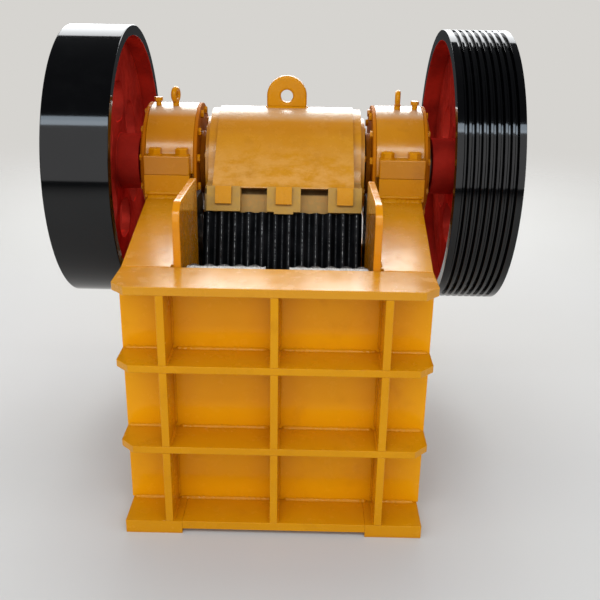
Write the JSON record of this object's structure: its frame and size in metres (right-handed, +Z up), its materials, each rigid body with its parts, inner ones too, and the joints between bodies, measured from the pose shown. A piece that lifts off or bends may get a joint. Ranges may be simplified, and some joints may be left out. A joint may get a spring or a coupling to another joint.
{
  "type": "jaw crusher",
  "caption": "Stationary stone crusher with a ribbed welded frame, a fixed and a swinging toothed jaw, an eccentric shaft, a flywheel and a grooved belt pulley.",
  "frame": {"origin": "on the ground under the middle of the whole machine", "axes": "+X along the shaft towards the grooved pulley, +Y from the feed side towards the back, +Z up"},
  "size_m": [1.732, 1.666, 1.585],
  "materials": {
    "yellow_enamel": "gloss",
    "flywheel_enamel": "gloss",
    "pulley_enamel": "gloss",
    "manganese_liner": "satin",
    "bare_steel": "satin",
    "spring_black": "satin"
  },
  "bodies": {
    "frame": {"front_wall": "yellow_enamel", "front_top_flange": "yellow_enamel", "front_rib_upper": "yellow_enamel", "front_rib_lower": "yellow_enamel", "front_posts": "yellow_enamel", "side_wall_left": "yellow_enamel", "side_wall_right": "yellow_enamel", "side_flange_left": "yellow_enamel", "side_flange_right": "yellow_enamel", "side_rails": "yellow_enamel", "side_posts": "yellow_enamel", "rear_wall": "yellow_enamel", "rear_rails": "yellow_enamel", "rear_posts": "yellow_enamel", "foot_left": "yellow_enamel", "foot_right": "yellow_enamel", "front_sill": "yellow_enamel", "rear_sill": "yellow_enamel", "feed_guard_left": "yellow_enamel", "feed_guard_right": "yellow_enamel", "side_liner_left": "manganese_liner", "side_liner_right": "manganese_liner", "fixed_jaw_plate": "manganese_liner", "bearing_housing_left": "yellow_enamel", "bearing_housing_right": "yellow_enamel", "bearing_cap_left": "yellow_enamel", "bearing_cap_right": "yellow_enamel", "bearing_covers_left": "yellow_enamel", "bearing_covers_right": "yellow_enamel", "cap_eyebolts": "yellow_enamel", "grease_plugs": "yellow_enamel", "toggle_shelves": "yellow_enamel", "toggle_seat": "yellow_enamel", "toggle_shims": "bare_steel", "toggle_plate": "bare_steel", "tension_rods": "bare_steel", "springs": "spring_black"},
    "shaft": {"eccentric_shaft": "bare_steel", "flywheel": "flywheel_enamel", "belt_pulley": "pulley_enamel"},
    "swing_jaw": {"moving_jaw": "yellow_enamel", "jaw_lifting_lug": "yellow_enamel", "moving_jaw_plate": "manganese_liner", "jaw_clamps": "yellow_enamel", "jaw_toggle_seat": "yellow_enamel"}
  },
  "joints": [
    {"name": "shaft_spin", "type": "hinge", "parent": "frame", "child": "shaft", "pos_m": [0, 0.288, 1.04], "axis": [1, 0, 0], "continuous": true},
    {"name": "jaw_on_eccentric", "type": "hinge", "parent": "shaft", "child": "swing_jaw", "pos_m": [0, 0.288, 1.03], "axis": [1, 0, 0], "continuous": true}
  ],
  "couplings": [
    {"joint": "jaw_on_eccentric", "follows": "shaft_spin", "ratio": -1}
  ]
}
